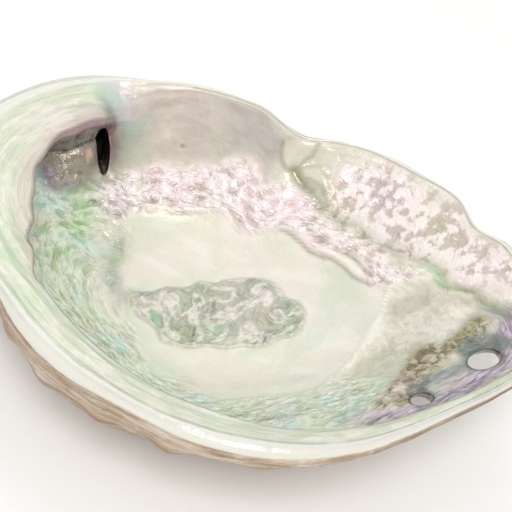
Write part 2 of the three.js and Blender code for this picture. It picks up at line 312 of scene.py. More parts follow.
# Lumps inside: the raised edge of the round scar, the rough patch, the bulge beside the spire's
# hollow, the pit of a sealed hole and the broad ripples of the walls.
scar_centre = (-9, 11)
scar_length, scar_width = 44, 30
scar_turn = 0.12
scar_edge_height = 0.5
rough_centre = (-10, 9)
rough_height = 0.5
rough_radius = 19
wall_ripple_height = 0.8
bulge_centre = (-72, 23.5, -14)
bulge_height = 4.4
bulge_radius = 6.5
pit_centre = (41.8, -21, -21)
pit_depth = 2.2
pit_radius = 3.6
base_x, base_y = base[..., 0], base[..., 1]
dx = base_x - scar_centre[0]
dy = base_y - scar_centre[1]
scar = np.hypot(
    (dx * math.cos(scar_turn) + dy * math.sin(scar_turn)) / scar_length,
    (dy * math.cos(scar_turn) - dx * math.sin(scar_turn)) / scar_width,
)
inside_relief = scar_edge_height * mound(scar - 1, 0.1) * (
    0.6 + 0.4 * np.cos(np.arctan2(dy, dx) - 0.5))
rough = mound(np.hypot(base_x - rough_centre[0], 1.3 * (base_y - rough_centre[1])), rough_radius)
inside_relief += rough_height * rough * np.sin(base_x / 2.6 + base_y / 5) * np.cos(base_y / 3.1)
inside_relief += wall_ripple_height * smooth_step(scar - 1) * (
    np.sin(base_x / 4.6 - base_y / 6.5) * np.cos(base_y / 5.4 + base_x / 17))
inside_relief += bulge_height * mound(np.linalg.norm(base - bulge_centre, axis=2), bulge_radius)
inside_relief -= pit_depth * mound(np.linalg.norm(base - pit_centre, axis=2), pit_radius)

row = np.arange(rows)
outside_share = smooth_step((ledge_start_row - row) / rim_rows)
inside_share = smooth_step((row - under_start_row + 1) / under_rows)
surface = base + normal * (outside_relief * outside_share + inside_relief * inside_share)[..., None]

# The shell's lowest places are worn flat, and the whole of it is set down on z = 0.
sole_height = -dome_depth + foot_cut
surface[..., 2] = np.maximum(surface[..., 2], sole_height)
dome_middle = (*bowl_centre, sole_height)
bowl_middle = (*bowl_centre, -bowl_depth + np.mean(inside_relief[:, -1]))
points = np.vstack((surface.reshape(-1, 3), dome_middle, bowl_middle))
cad_low, cad_high = (np.array(corner) * 1000 for corner in cad_box)
to_part = np.array((
    *((cad_low + cad_high)[:2] - (points.min(0) + points.max(0))[:2]) / 2,
    -sole_height,
))

faces = []
dome_index = columns * rows
bowl_index = dome_index + 1
for column in range(columns):
    here = column * rows
    after = (column + 1) % columns * rows
    faces.append((dome_index, after, here))
    faces.extend((here + i, after + i, after + i + 1, here + i + 1) for i in range(rows - 1))
    faces.append((bowl_index, here + rows - 1, after + rows - 1))
shell_mesh = bpy.data.meshes.new("shell")
shell_mesh.from_pydata(points.tolist(), [], faces)
shell = bpy.data.objects.new("shell", shell_mesh)
bpy.context.collection.objects.link(shell)


# Two breathing holes are open, and the hollow of the spire winds away under the ledge's end.
# Each is cut with a tube whose sections are a centre, a half width and a half height.
def cut_tube(name, centres, up, widths, heights, sides):
    ahead = np.gradient(np.array(centres, float), axis=0)
    side = np.cross(ahead, up)
    side /= np.linalg.norm(side, axis=1, keepdims=True)
    lift = np.cross(side, ahead)
    lift /= np.linalg.norm(lift, axis=1, keepdims=True)
    turns = np.linspace(0, 2 * math.pi, sides, endpoint=False)[None, :, None]
    tube = (
        np.array(centres)[:, None]
        + side[:, None] * np.array(widths)[:, None, None] * np.cos(turns)
        + lift[:, None] * np.array(heights)[:, None, None] * np.sin(turns)
    ).reshape(-1, 3)
    last = (len(centres) - 1) * sides
    faces = [tuple(range(sides)), tuple(range(last + sides - 1, last - 1, -1))]
    for start in range(0, last, sides):
        for k in range(sides):
            after = (k + 1) % sides
            faces.append((start + k, start + sides + k, start + sides + after, start + after))
    mesh = bpy.data.meshes.new(name)
    mesh.from_pydata(tube.tolist(), [], faces)
    cutter = bpy.data.objects.new(name, mesh)
    bpy.context.collection.objects.link(cutter)
    cutter.hide_render = True
    cut = shell.modifiers.new(name, "BOOLEAN")
    cut.operation = "DIFFERENCE"
    cut.solver = "MANIFOLD"
    cut.object = cutter
    return cutter


holes = [  # centre, half length, half width
    ((57.6, -12, -12), 3.7, 2.4),
    ((67.9, 9.8, -9), 4.6, 3),
]
hole_axis = np.array((-0.14, 0.42, -0.9))
hole_axis /= np.linalg.norm(hole_axis)
hole_steps = np.array((-9, -2, 3, 14))
hole_flare = 1.25
hole_sides = 48
along_rim = (0.45, 0.9, 0)
cutters = []
for i, (centre, half_length, half_width) in enumerate(holes):
    flare = hole_flare ** np.array((-1, 0, 1, 2))
    cutters.append(cut_tube(
        f"hole_{i}", centre + hole_axis * hole_steps[:, None], along_rim,
        half_width * flare, half_length * flare, hole_sides,
    ))
spire_hollow = [  # centre, half width, half height
    ((-61, 21, -14), 2.1, 6.4), ((-68, 30.2, -14), 2.3, 7), ((-73, 33.2, -13), 2.4, 5.4),
    ((-76.5, 30.5, -12), 2.4, 4), ((-80, 25, -12.5), 2.2, 3), ((-79, 19, -13), 1.2, 1.6),
]
hollow_points = 26
hollow_sides = 32
hollow_reach = 8.5
hollow_centres, hollow_widths, hollow_heights = zip(*spire_hollow)
hollow = curve_through(hollow_centres, False, hollow_points)
stations = np.arange(len(spire_hollow))
along_hollow = np.linspace(0, stations[-1], hollow_points)
cutters.append(cut_tube(
    "spire_hollow", hollow, (0, 0, 1), np.interp(along_hollow, stations, hollow_widths),
    np.interp(along_hollow, stations, hollow_heights), hollow_sides,
))


def apply_modifiers(piece):
    bpy.context.view_layer.update()
    evaluated = piece.evaluated_get(bpy.context.evaluated_depsgraph_get())
    done = bpy.data.meshes.new_from_object(evaluated)
    piece.modifiers.clear()
    piece.data = done


apply_modifiers(shell)
for cutter in cutters:
    bpy.data.objects.remove(cutter)

# Where each point lies on the profile and along the rim, taken from the nearest point of the
# uncut surface. The way along the rim starts at the spire end, where its step doesn't show.
cut_distance = 0.6
count = len(shell.data.vertices)
flat = np.empty(count * 3)
shell.data.vertices.foreach_get("co", flat)
place = flat.reshape(-1, 3)
tree = KDTree(len(points) - 2)
for i, point in enumerate(points[:-2].tolist()):
    tree.insert(point, i)
tree.balance()
nearest = [tree.find(point) for point in place.tolist()]
nearest_index = np.array([index for _, index, _ in nearest])
nearest_column, nearest_row = np.divmod(nearest_index, rows)
profile_place = inwards.reshape(-1)[nearest_index]
rim_place = (nearest_column + columns // 2) % columns * np.linalg.norm(rim[1] - rim[0])
cut_wall = np.array([distance for _, _, distance in nearest]) > cut_distance


def band(low, high, soft=2):
    """One between two rows of the profile, fading over a few rows outside them."""
    return smooth_step((nearest_row - low) / soft + 1) * smooth_step((high - nearest_row) / soft + 1)


# Natural edges wander, so outlines and lines are looked up at slightly shifted places.
x, y = place[:, 0], place[:, 1]
wavy = np.column_stack((
    x + 1.3 * np.sin(y / 4.1 + 1) + 0.7 * np.sin(x / 2.1 + y / 2.9),
    y + 1.2 * np.sin(x / 3.7) + 0.7 * np.sin(y / 2.3 - x / 3.3),
))


def path_distance(path, wander=0.3):
    """Distance to a path in plan, whose line wanders by a share of the shift above."""
    spot = mix(place[:, :2], wavy, wander)
    best = np.full(count, 1e9)
    for start, end in zip(np.array(path, float), np.array(path[1:], float)):
        step = end - start
        share = np.clip((spot - start) @ step / (step @ step), 0, 1)
        best = np.minimum(best, np.linalg.norm(spot - start - share[:, None] * step, axis=1))
    return best


def inside_outline(outline, soft):
    """One inside a closed outline, fading over a soft margin."""
    x, y = wavy.T
    crossings = np.zeros(count, bool)
    for (ax, ay), (bx, by) in zip(outline, outline[1:] + outline[:1]):
        if ay != by:
            crossings ^= ((ay > y) != (by > y)) & (x < ax + (y - ay) * (bx - ax) / (by - ay))
    distance = path_distance(outline + outline[:1], 1)
    return smooth_step(np.where(crossings, distance, -distance) / soft + 0.5)


# Zones along the profile: the lip, the ledge with its two ridges, the outer layer and the inside.
direction = angle[nearest_column, 0]
on_lip = smooth_step((math.radians(148) - direction) / 0.3) * smooth_step((direction - 0.1) / 0.2)
inside = np.maximum(band(under_start_row + 4, rows, 4), band(ledge_start_row + 6, rows, 4) * on_lip)
worn_lip = mound(path_distance([(-33, 63), (-20, 61), (-10, 61), (-2, 64)]), 5)
worn_lip = np.maximum(worn_lip, mound(path_distance([(62, 47), (72, 38), (76, 33)]), 5))
from_hollow = np.min([np.linalg.norm(place - point, axis=1) for point in hollow], axis=0)
# The cut walls of the spire's hollow, painted near black as shade.
in_hollow = cut_wall * (from_hollow < hollow_reach)
outer = ((nearest_row < outside_rows + 1 + 3.5 * worn_lip) & (in_hollow < 0.5)).astype(float)
ledge = band(ledge_start_row, under_start_row + 4, 3) * (1 - on_lip)
ledge_share = (nearest_row - ledge_start_row) / ledge_rows
middle_ridge = 0.5 + 0.16 * np.sin(3 * direction + 1) + 0.05 * np.sin(11 * direction)
inner_ridge = 0.75 + 0.1 * np.sin(5 * direction)
ledge_ridges = ledge * (
    mound(ledge_share - middle_ridge, 0.08) + 0.7 * mound(ledge_share - inner_ridge, 0.06))
# A purplish painted shade under the ledge's edge where it overhangs.
ledge_overhang_shade = band(under_start_row - 1, under_start_row + 4, 1) * overhang[nearest_column, 0]
rim_line = band(outside_rows + 1, ledge_start_row + 1, 2)

# Zones in plan, each one where a colour or a mark lies and fading to zero round it.
scar_outline = [
    (-51.5, 21.6), (-43, 29), (-24, 36.6), (0, 41), (17, 38), (31, 32.7), (34.6, 25), (34, 3),
    (25.5, -12), (9, -22), (-13.6, -22), (-30, -11.3), (-36, -8), (-38, -1), (-44, 3),
    (-43.5, 9), (-47, 12),
]
rough_outline = [
    (-35, 0), (-28, 9), (-22, 17), (-16, 22), (-8, 23.6), (0, 24.3), (9, 23.8), (12, 19.4),
    (12, 11.7), (5.6, 4.6), (-4, -2), (-13, -5), (-22, -6.7), (-30.6, -5),
]
wall_outline = [
    (-70, 43), (-64, 52), (-53, 60), (-40, 63), (-28, 62), (-16.5, 57), (-17.5, 50),
    (-28, 48), (-40, 45.5), (-50, 38.5), (-58, 29), (-63, 28), (-66, 34),
]
aqua_outline = [(-84, 33), (-80, 40), (-73, 45), (-68, 42), (-66, 35), (-71, 33), (-78, 28)]
band_outline = [
    (-64, 18), (-56, 17), (-43, 31), (-24, 37), (-4, 40), (13.6, 38.4), (29.5, 32.4),
    (38, 36), (24, 42.6), (5, 47), (-10, 49.3), (-25.5, 50), (-41, 45), (-54, 36.5),
]
fleck_outline = [
    (1, 55), (5, 49), (24, 44.5), (42, 40), (58, 37), (74, 34), (70, 42), (56, 50), (38, 59),
    (22, 63), (6, 63),
]
front_outline = [(36, -2), (46, -4), (60, 4), (70, 16), (76, 26), (66, 32), (46, 35), (36, 28)]
scar_zone = inside * inside_outline(scar_outline, 4)
rough_zone = inside * np.maximum(
    inside_outline(rough_outline, 3),
    0.8 * mound(path_distance([(-30, 1), (-40, -1), (-47, 5), (-50, 12)], 1), 3.6))
band_zone = inside * inside_outline(band_outline, 6)
fleck_zone = inside * inside_outline(fleck_outline, 9)
front_zone = inside * inside_outline(front_outline, 6)
scar_edge = inside * mound(path_distance(
    [(33, 33), (34.8, 25), (33.8, 21), (34, 14), (34, 6.3), (33, -2.4), (29, -9.4)]), 0.65)
scar_faint_edge = inside * mound(path_distance(scar_outline + scar_outline[:1], 1), 0.8)
crease = inside * mound(path_distance([
    (-12, 53.5), (-5.4, 50.5), (1, 49), (7.2, 47.7), (13.9, 46.7), (19.6, 44.1), (26.3, 42.9),
    (34.8, 42.1), (42.5, 39), (47.3, 35.4), (56.6, 34.8), (62, 31), (68.6, 27),
]), 1.3)
green_accent = inside * mound(path_distance([(39, 40.5), (43, 39), (46, 36.8), (48.5, 35.3)]), 0.9)
# Each fold is raised a little and painted with a highlight along it, with a painted shade beside it.
fold_paths = [
    [(-8, 41.2), (3.3, 39.3), (11.5, 38.5), (20.3, 35), (26.9, 33.8), (30, 35.6)],
    [(-2, 44.5), (6, 42.5), (14, 41), (23, 37.5), (32, 34.5)],
]
fold_and_highlight, fold_shade = (
    inside * np.max(
        [mound(path_distance(np.add(path, (0, shift))), 0.6) for path in fold_paths], axis=0)
    for shift in (0, -1.2)
)
rough_edge = inside * mound(path_distance(rough_outline + rough_outline[:1], 1), 0.9)
green_floor = inside * mound(path_distance([
    (-71, 16), (-67, 4), (-59, -8), (-48, -18), (-30, -28), (-8, -34), (18, -32), (34, -22),
    (44, -14),
]), 13)
mauve_wall = inside * inside_outline(wall_outline, 6)
aqua = inside_outline(aqua_outline, 6) * (outer < 0.5)
teal_wall = inside * mound(np.hypot((x + 64) / 5, (y - 39) / 6), 1)
green_streak = inside * mound(path_distance([(-69.5, 19), (-66, 17), (-64, 12), (-60.5, 6)]), 3.6)
# A painted shade along the ledge's inner edge, growing towards the left.
ledge_inner_shade = band(under_start_row - 3, under_start_row + 1, 4) * smooth_step((-30 - x) / 25)
blister_outlines = [
    [(-18, 57.5), (-8.4, 59), (-7.7, 57), (-9, 54.4), (-13.4, 53.8), (-17, 55.5)],
    [(-8.2, 54.3), (-4.4, 56), (1, 53.7), (3.5, 51.6), (-2, 51.5), (-6.6, 52.1)],
]
blisters = inside * np.max([inside_outline(outline, 1) for outline in blister_outlines], axis=0)
blister_edge = inside * np.max(
    [mound(path_distance(outline + outline[:1], 1), 0.55) for outline in blister_outlines], axis=0)
smooth_corner = mound(np.hypot(x + 10, y - 56), 10)
stain = inside * smooth_step(1.7 * np.maximum(
    mound(path_distance([(52.5, -16), (53, -7), (54, -1), (53.5, 5), (54, 10.5)]), 4.4),
    mound(path_distance([(54, 10.5), (58, 14.5), (60.5, 18), (62, 23)]), 3)))
purple = inside * mound(path_distance([
    (51, -25.5), (56, -23), (60, -18.5), (63.5, -12), (67, -5), (70.5, 2.7), (72, 11), (72, 19),
    (72, 26),
]), 5)
hole_shade = inside * smooth_step(1.3 * np.maximum(
    mound(path_distance([(56, -6), (58.3, -2.7), (60.4, 0.6), (63, 4)]), 2.7),
    mound(path_distance([(62.2, 13), (63, 16), (65.8, 18), (68.5, 18.4), (71, 16)]), 2.7)))
# Painted shade round the spire's hollow, fading over its reach, and a dark purple painted shade along
# part of its edge.
hollow_shade = mound(from_hollow, hollow_reach) * (outer < 0.5) * inside
hollow_lip_shade = inside * mound(path_distance([(-72, 36), (-68.5, 34.5), (-65.3, 31), (-65.5, 27.5)]), 2.1)
chip = inside * inside_outline([(-69.8, 22.4), (-67.8, 25.6), (-66.6, 24.6), (-68, 21.6)], 1)
lip_border = band(outside_rows + 3, ledge_start_row + 4, 3) * on_lip
olive_floor = inside * mound(path_distance([(6, -35), (18, -34), (30, -28)]), 5)
# The bulge inside the spire's hollow is painted dark grey as shade, with lighter grains as painted
# glints.
shaded_spire_bulge = inside * smooth_step(1.4 * mound(path_distance(
    [(-75, 13), (-73, 18), (-70.5, 22), (-69.5, 26), (-70, 31)]), 5))
speck_places = [(-60.3, 36.8), (-54.4, 36.6), (-47.5, 45.3)]
specks = inside * np.max([mound(np.hypot(x - a, y - b), 1.5) for a, b in speck_places], axis=0)
# A near black painted shade round the edge of each open hole.
hole_rim_shade = np.zeros(count)
for centre, half_length, half_width in holes:
    offset = place - centre
    along_axis = offset @ hole_axis
    up = np.cross(np.cross(hole_axis, along_rim), hole_axis)
    up /= np.linalg.norm(up)
    side = np.cross(hole_axis, up)
    wide = hole_flare ** (np.clip(along_axis, hole_steps[0], hole_steps[-1]) / 5)
    across = np.hypot(offset @ side / (half_width * wide), offset @ up / (half_length * wide))
    hole_rim_shade = np.maximum(hole_rim_shade, mound(np.maximum(across - 1, 0), 0.4) * (np.abs(along_axis) < 9))
# The sunk pit of a sealed hole, painted darker inside as shade.
sealed_pit_centre = (42.7, -26.5, -14.5)
sealed_pit_and_shade = inside * mound(np.linalg.norm(place - sealed_pit_centre, axis=1), 2.6)

# The time of growth, zero at the lip. Outside it rises towards the spire, so the old rims nest.
# Inside it is the way in from the lip, and it is steady in the middle of the bowl.
middle_growth = 90
calm_middle = 34
spire_growth = 70
rim_sharpness = 0.25
samples = rim[::2]
spacing = np.linalg.norm(rim[2] - rim[0])
from_middle = np.linalg.norm(place[:, :2] - bowl_centre, axis=1)
away_from_middle = np.where(outer > 0, 1, smooth_step(from_middle / calm_middle))
growth = mix(middle_growth, profile_place, away_from_middle)
outer_points = place[outer > 0]
nearness = np.zeros(len(outer_points))
for sample in samples:
    nearness += np.exp(-rim_sharpness * np.linalg.norm(outer_points - sample, axis=1))
from_rim = -np.log(nearness * spacing * rim_sharpness / 2) / rim_sharpness
from_spire = np.linalg.norm(outer_points - spire_apex, axis=1)
growth[outer > 0] = spire_growth * from_rim / (from_rim + from_spire)

ripples = np.clip(band_zone + 0.35 * green_floor + 0.3 * inside, 0, 1)
for calm, share in (
    (scar_zone, 0.95), (front_zone, 0.75), (mauve_wall, 0.85), (fleck_zone, 1), (rough_zone, 1),
    (shaded_spire_bulge, 1), (smooth_corner, 0.9),
):
    ripples *= 1 - share * calm

# Single marks are raised or sunk by so many millimetres. Cut edges and their walls stay plain.
quiet = 1 - np.clip(hole_rim_shade + cut_wall, 0, 1)
fine_relief = (
    0.4 * scar_edge + 0.1 * scar_faint_edge - 1.0 * crease + 0.8 * fold_and_highlight - 0.4 * fold_shade
    + 0.3 * ledge_ridges - 0.9 * sealed_pit_and_shade
    + 1.0 * blisters + 0.8 * rough_edge - 0.4 * rough_zone
) * quiet

colour_zones = {
    "inside": inside, "scar": scar_zone, "scar_edge": np.maximum(scar_edge, 0.4 * scar_faint_edge),
    "rough": rough_zone, "rough_edge": rough_edge, "rosy": np.maximum(band_zone, 0.8 * fleck_zone),
    "ripples": ripples * quiet, "flecks": fleck_zone * quiet,
    "layers": np.maximum(rough_zone, 0.5 * stain) * quiet, "front": front_zone, "crease": crease,
    "green_accent": green_accent, "fold_and_highlight": fold_and_highlight, "fold_shade": fold_shade,
    "blister": blisters, "blister_edge": blister_edge, "mauve": mauve_wall, "specks": specks,
    "aqua": aqua, "teal": teal_wall, "green": green_floor, "olive": olive_floor,
    "streak": green_streak, "ledge": ledge, "ledge_overhang_shade": ledge_overhang_shade, "ledge_inner_shade": ledge_inner_shade,
    "rim_line": rim_line, "lip_border": lip_border, "stain": stain, "purple": purple,
    "hole_shade": hole_shade, "hole_rim_shade": hole_rim_shade, "pit": sealed_pit_and_shade, "bulge": shaded_spire_bulge,
    "hollow": hollow_shade, "hollow_lip_shade": hollow_lip_shade, "hollow_deep_shade": in_hollow, "chip": chip,
}
relief_fields = {
    "outer": outer, "growth": growth, "rim_place": rim_place, "fine_relief": fine_relief,
}
for name, values in {**colour_zones, **relief_fields}.items():
    attribute = shell.data.attributes.new(name, "FLOAT", "POINT")
    attribute.data.foreach_set("value", np.asarray(values, np.float32))
shell.data.vertices.foreach_set("co", ((place + to_part) / 1000).ravel())
shell.data.update()
shell.data.name = "shell"


def add_node(tree, kind, settings, inputs, output=""):
    """Add a node with its settings and links, and give back one of its outputs.

    Inputs go by identifier, or in the node's own order where they come as a tuple. The output
    goes by identifier too, and is the node's first where none is named.
    """
    node = tree.nodes.new(kind)
    for name, value in settings.items():
        setattr(node, name, value)
    sockets = {socket.identifier: socket for socket in node.inputs}
    if isinstance(inputs, tuple):
        inputs = dict(zip(sockets, inputs))
    for name, value in inputs.items():
        if isinstance(value, bpy.types.NodeSocket):
            tree.links.new(value, sockets[name])
        else:
            sockets[name].default_value = value
    outputs = {socket.identifier: socket for socket in node.outputs}
    return outputs[output] if output else next(iter(outputs.values()), None)


times, plus, minus = ({"operation": name} for name in ("MULTIPLY", "ADD", "SUBTRACT"))
minus_to_zero = {"operation": "SUBTRACT", "use_clamp": True}


def linear(code):
    """An sRGB hex colour as linear values."""
    parts = [int(code[i:i + 2], 16) / 255 for i in (1, 3, 5)]
    return [c / 12.92 if c < 0.04045 else ((c + 0.055) / 1.055) ** 2.4 for c in parts] + [1]


def mottling(tree, size_mm, detail, growth_share=0.0, roughness=0.55, distortion=0.0):
    """A pattern of a size in millimetres, drawn out along the lines of growth by a share."""
    inputs = {
        "Vector": add_node(tree, "ShaderNodeTexCoord", {}, {}, "Object"),
        "Scale": 1000 / size_mm, "Detail": detail,
        "Roughness": roughness, "Distortion": distortion,
    }
    if growth_share == 0:
        return add_node(tree, "ShaderNodeTexNoise", {}, inputs)
    grown = add_node(tree, "ShaderNodeAttribute", {"attribute_name": "growth"}, {}, "Fac")
    steps = add_node(tree, "ShaderNodeMath", times, (grown, growth_share))
    inputs["W"] = add_node(tree, "ShaderNodeMath", times, (steps, size_mm / 1000))
    return add_node(tree, "ShaderNodeTexNoise", {"noise_dimensions": "4D"}, inputs)


def crests(tree, pattern, sharp):
    """Crest lines where a pattern passes its middle, from one on the line down to zero."""
    off_middle = add_node(tree, "ShaderNodeMath", minus, (pattern, 0.5))
    away = add_node(tree, "ShaderNodeMath", {"operation": "ABSOLUTE"}, (off_middle,))
    fall = add_node(tree, "ShaderNodeMath", times, (away, sharp))
    return add_node(tree, "ShaderNodeMath", minus_to_zero, (1.0, fall))


def layered(tree, base, layers):
    """Lay colours over a base one after another, each by its own share."""
    colour = linear(base)
    for code, share in layers:
        colour = add_node(tree, "ShaderNodeMix", {"data_type": "RGBA"}, {
            "Factor_Float": share, "A_Color": colour, "B_Color": linear(code),
        }, "Result_Color")
    return colour


# Nacre: aragonite laid down in smooth films, so it is glossy, and it shows the faint greens,
# pinks and mauves of thin layers over cream. Olive stains and a purple channel lie by the holes.
nacre = bpy.data.materials.new("nacre")
nacre.use_nodes = True
tree = nacre.node_tree
tree.nodes.clear()
zone = {
    name: add_node(tree, "ShaderNodeAttribute", {"attribute_name": name}, {}, "Fac")
    for name in (*colour_zones, "layer_edge", "ripple_crest", "fleck_crest")
}
mottle = mottling(tree, 7, 4)
patches = mottling(tree, 18, 3)
clouds = mottling(tree, 13, 4, distortion=0.4)
grain = mottling(tree, 3, 4, distortion=0.8)
fine_grain = mottling(tree, 2.6, 3)
very_fine_grain = mottling(tree, 1.1, 2)
films = mottling(tree, 6, 4, 0.3, distortion=0.5)
long_streaks = mottling(tree, 24, 4, 0.4)
wrinkles = crests(tree, mottling(tree, 5, 1, 0.35, distortion=1.2), 4.5)
slivers = crests(tree, mottling(tree, 8, 1.5, 0.6, distortion=0.4), 7.0)
steps = add_node(tree, "ShaderNodeMath", times, (mottling(tree, 9, 2, distortion=1.0), 9.0))
contour = add_node(tree, "ShaderNodeMath", {"operation": "FRACT"}, (steps,))
cloud_size = 6
cloud_stretch = 3.5
turned = add_node(tree, "ShaderNodeMapping", {}, {
    "Vector": add_node(tree, "ShaderNodeTexCoord", {}, {}, "Object"),
    "Rotation": (0, 0, math.radians(35)), "Scale": (1, cloud_stretch, 1),
})
long_clouds = add_node(tree, "ShaderNodeTexNoise", {}, {
    "Vector": turned, "Scale": 1000 / cloud_size / cloud_stretch, "Detail": 4, "Roughness": 0.6,
})

# Every layer of colour is a hex code and its share: first the faint clouding of all the nacre.
layers = [
    (code, add_node(tree, "ShaderNodeMapRange", {}, (pattern, low, high, 0.0, strength)))
    for pattern, low, high, strength, code in (
        (mottle, 0.35, 0.65, 1.0, "#DFDBCF"), (patches, 0.45, 0.7, 0.7, "#C0CDB9"),
        (films, 0.5, 0.7, 0.5, "#E0CFD1"),
    )
]
zone_colours = [  # zone, colour, strength, and what breaks up its edge
    ("scar", "#E0DFD9", 0.95, None), ("scar", "#D0D7C6", 0.7, clouds),
    ("scar", "#EDE7E2", 0.7, patches), ("scar", "#D6D0C3", 0.35, long_clouds),
    ("scar_edge", "#F6F1EA", 0.85, None),
    ("front", "#BBB4A9", 0.9, None), ("front", "#CECABF", 0.8, mottle),
    ("front", "#E9E1D9", 0.5, grain), ("front", "#A7A392", 0.5, clouds),
    ("mauve", "#AFA8A5", 1.0, None), ("mauve", "#BDB6B4", 0.7, films),
    ("specks", "#7F7048", 0.9, grain), ("aqua", "#BCD6C7", 0.9, None),
    ("teal", "#8FAFA3", 0.85, None), ("rosy", "#F6EAE6", 0.95, None),
    ("rosy", "#D6CBBB", 0.6, mottle), ("rosy", "#FADFE0", 0.8, patches),
    ("flecks", "#C6BFB2", 0.9, None),
    ("green", "#BBD4B2", 0.95, None), ("green", "#8FCF9F", 0.9, films),
    ("green", "#AEDECB", 0.9, clouds), ("green", "#A5A36C", 0.5, mottle),
    ("olive", "#8C9A6C", 0.9, films), ("streak", "#94CC88", 0.95, None),
    ("rough", "#A9BD9E", 0.95, None), ("rough", "#93BD9E", 0.9, mottle),
    ("rough", "#A9A98A", 0.7, films), ("rough", "#C2BDB2", 0.7, clouds),
    ("rough_edge", "#EFE3DE", 0.8, grain), ("crease", "#7F8868", 0.95, None),
    # Painted shade beside the folds and a painted highlight on them.
    ("green_accent", "#93CB94", 0.6, None), ("fold_shade", "#A3978C", 0.7, None),
    ("fold_and_highlight", "#FAF2EE", 0.85, None), ("blister", "#D9D6C8", 0.8, None),
    ("blister_edge", "#A39E83", 0.45, None), ("ledge", "#C3CBB9", 0.95, None),
    ("ledge", "#DBDACE", 0.9, long_streaks), ("ledge", "#B3C6A4", 0.6, films),
    # Painted shade along the ledge's inner edge.
    ("lip_border", "#DBD8CE", 0.85, None), ("ledge_inner_shade", "#C6B9AE", 0.5, None),
    ("purple", "#9885AC", 0.95, None), ("purple", "#C6B2C4", 0.9, films),
    ("purple", "#4C4C6B", 0.9, slivers), ("stain", "#A39D6C", 1.0, None),
    ("stain", "#C2B7A6", 0.9, mottle), ("stain", "#5A4C28", 1.0, grain),
    # Painted shade on the bulge, with painted glints.
    ("bulge", "#78716D", 0.95, None), ("bulge", "#A8A19C", 0.8, grain),
    # Purplish painted shade under the ledge's overhanging edge.
    ("ledge_overhang_shade", "#8E7078", 0.8, None), ("rim_line", "#DEDCD4", 0.8, None),
    # Painted shade round the spire's hollow and along its edge, and near black inside it.
    ("hollow", "#6A5F5A", 0.8, None), ("hollow_lip_shade", "#6E4A5A", 0.95, None),
    ("chip", "#C5A791", 0.9, None), ("hollow_deep_shade", "#161717", 1.0, None),
    # Painted shade beside the open holes and near black at their edges.
    ("hole_shade", "#3C555E", 0.95, None), ("hole_rim_shade", "#1D2A30", 1.0, None),
    # Painted shade in the sealed pit.
    ("pit", "#56695C", 0.7, None),
]
for name, code, strength, pattern in zone_colours:
    share = add_node(tree, "ShaderNodeMath", times, (zone[name], strength))
    if pattern is not None:
        off_middle = add_node(tree, "ShaderNodeMath", minus, (pattern, 0.5))
        uneven = add_node(tree, "ShaderNodeMath", times, (off_middle, 4.0))
        broken = add_node(tree, "ShaderNodeMath", plus, (zone[name], uneven))
        shown = add_node(tree, "ShaderNodeMapRange", {}, (broken, 0.7, 1.2, 0.0, 1.0))
        share = add_node(tree, "ShaderNodeMath", times, (share, shown))
    layers.append((code, share))

# Wrinkles and flecks get a painted highlight on their crests and a greyer painted shade between them.
off_middle = add_node(tree, "ShaderNodeMath", minus, (fine_grain, 0.5))
uneven = add_node(tree, "ShaderNodeMath", times, (off_middle, 0.9))
for crest, name, shade_share, low, high in (
    ("ripple_crest", "ripples", 0.4, 0.35, 0.9), ("fleck_crest", "flecks", 0.2, 0.41, 0.53),
):
    ragged = add_node(tree, "ShaderNodeMath", plus, (zone[crest], uneven))
    raised = add_node(tree, "ShaderNodeMapRange", {}, (ragged, low, high, 0.0, 1.0))
    crest_highlight = add_node(tree, "ShaderNodeMath", times, (raised, zone[name]))
    between = add_node(tree, "ShaderNodeMath", minus_to_zero, (zone[name], crest_highlight))
    layers.append(("#A59C8E", add_node(tree, "ShaderNodeMath", times, (between, shade_share))))
    layers.append(("#FDF5F2", add_node(tree, "ShaderNodeMath", times, (crest_highlight, 0.8))))

# Layers that end in the rough patch and the stains get a painted highlight along their edges, and thin
# ones a fainter one.
edges = add_node(tree, "ShaderNodeMath", times, (zone["layer_edge"], zone["layers"]))
layers.append(("#F3EAE6", add_node(tree, "ShaderNodeMapRange", {}, (edges, 0.7, 1.0, 0.0, 0.85))))
thin_edge_highlight = add_node(tree, "ShaderNodeMapRange", {}, (contour, 0.8, 1.0, 0.0, 0.35))
layers.append(("#E9DDD8", add_node(tree, "ShaderNodeMath", times, (thin_edge_highlight, zone["layers"]))))

# Heights in millimetres of what is too fine for the mesh: small wrinkles on the walls, broken
# layers in the rough patch, long faint streaks on the ledge and a very fine grain everywhere.
relief_height = add_node(tree, "ShaderNodeMath", times, (very_fine_grain, 0.03))
for pattern, name, tall in (
    (wrinkles, "ripples", 0.5), (grain, "flecks", 0.8), (contour, "layers", 0.4),
    (long_streaks, "ledge", 0.9), (mottle, "rim_line", 0.8), (mottle, "rough", 1.5),
    (clouds, "scar", 0.5), (grain, "inside", 0.2), (grain, "stain", 1.0), (mottle, "bulge", 2.5),
):
    share = add_node(tree, "ShaderNodeMath", times, (pattern, zone[name]))
    share = add_node(tree, "ShaderNodeMath", times, (share, tall))
    relief_height = add_node(tree, "ShaderNodeMath", plus, (relief_height, share))
bump = add_node(tree, "ShaderNodeBump", {}, {
    "Strength": 1.0, "Distance": 0.001, "Height": relief_height,
})

# The scar and the wall under the far lip are satin, where the rest is glossy under a clear coat.
scar_share = add_node(tree, "ShaderNodeMath", times, (zone["scar"], 0.8))
satin_share = add_node(
    tree, "ShaderNodeMath", {"operation": "MAXIMUM"}, (zone["mauve"], scar_share))
glossy_share = add_node(tree, "ShaderNodeMath", minus, (1.0, satin_share))
wall_satin = add_node(tree, "ShaderNodeMath", times, (zone["mauve"], 0.3))
scar_satin = add_node(tree, "ShaderNodeMath", times, (zone["scar"], 0.25))
satin = add_node(tree, "ShaderNodeMath", plus, (wall_satin, scar_satin))
gloss = add_node(tree, "ShaderNodeMapRange", {}, (mottle, 0.3, 0.7, 0.16, 0.3))

